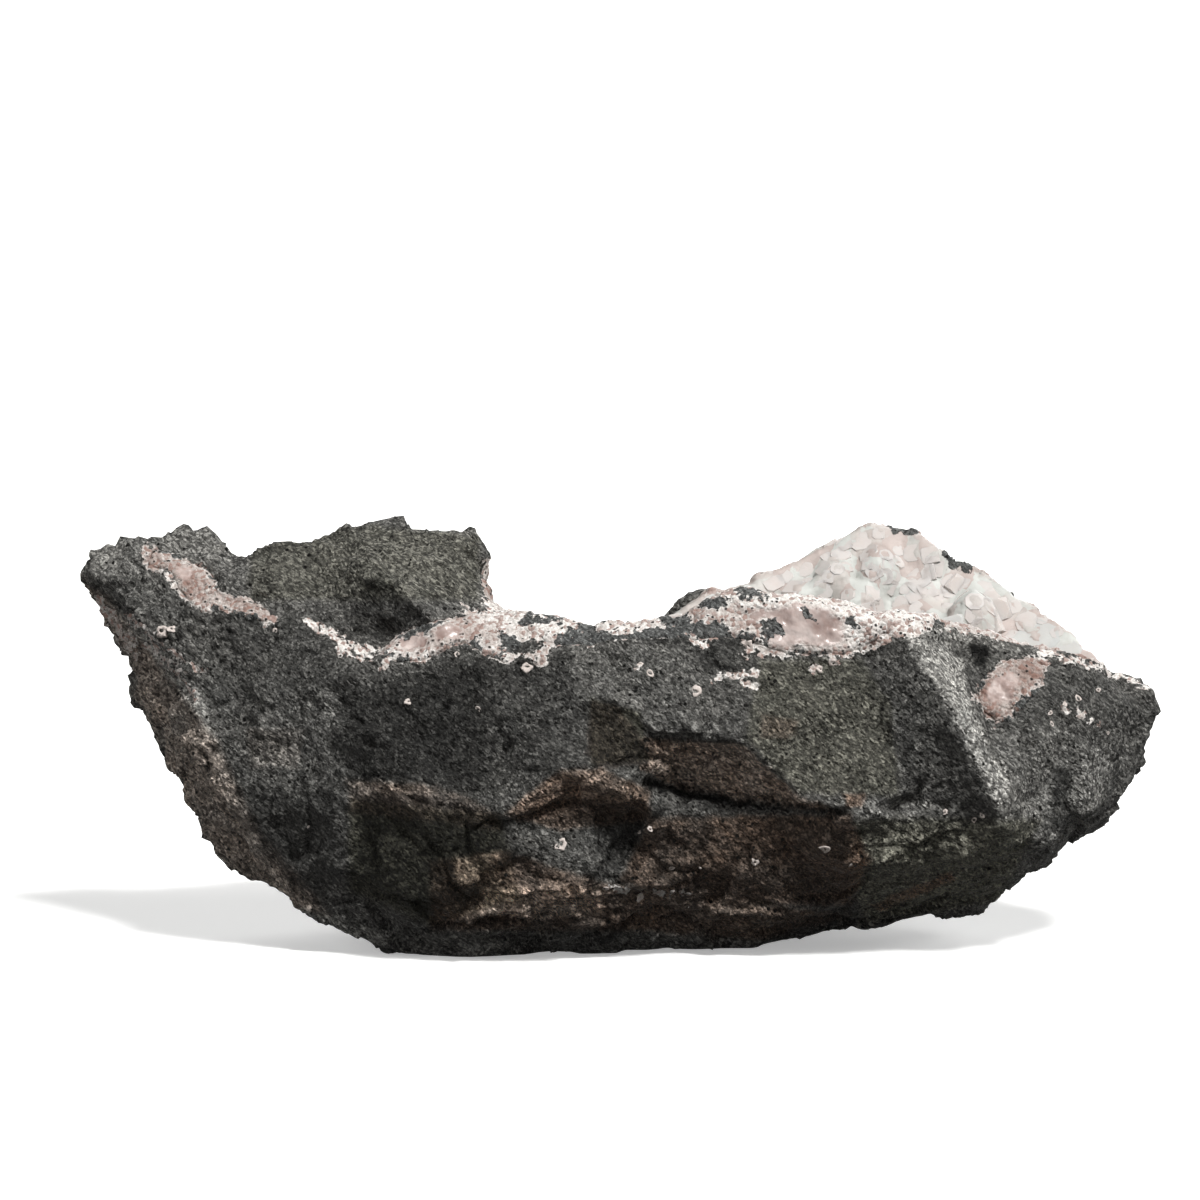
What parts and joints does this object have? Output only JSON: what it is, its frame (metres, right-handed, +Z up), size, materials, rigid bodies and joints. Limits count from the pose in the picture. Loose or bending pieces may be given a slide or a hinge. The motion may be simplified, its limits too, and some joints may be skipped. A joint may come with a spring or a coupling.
{
  "type": "apophyllite geode",
  "caption": "Boat-shaped block of dark basalt whose open top hollow is lined with a crust of pink zeolite and clear, blocky apophyllite crystals; it rests on a flat foot.",
  "frame": {"origin": "under the middle of the bounding box, on the plane of the flat foot", "axes": "+Z up out of the hollow's mouth, +X along the block's length towards the hollow's end, so -Y is the broken front with the two small druses"},
  "size_m": [0.4336, 0.191, 0.1676],
  "materials": {
    "basalt": "rough broken stone",
    "crystal": "glassy crystals on a milky crust",
    "zeolite": "grainy pink crust"
  },
  "bodies": {
    "root": {"basalt_matrix": "basalt", "crystal_crust": "crystal", "left_druse": "zeolite", "right_druse": "zeolite"}
  },
  "joints": []
}
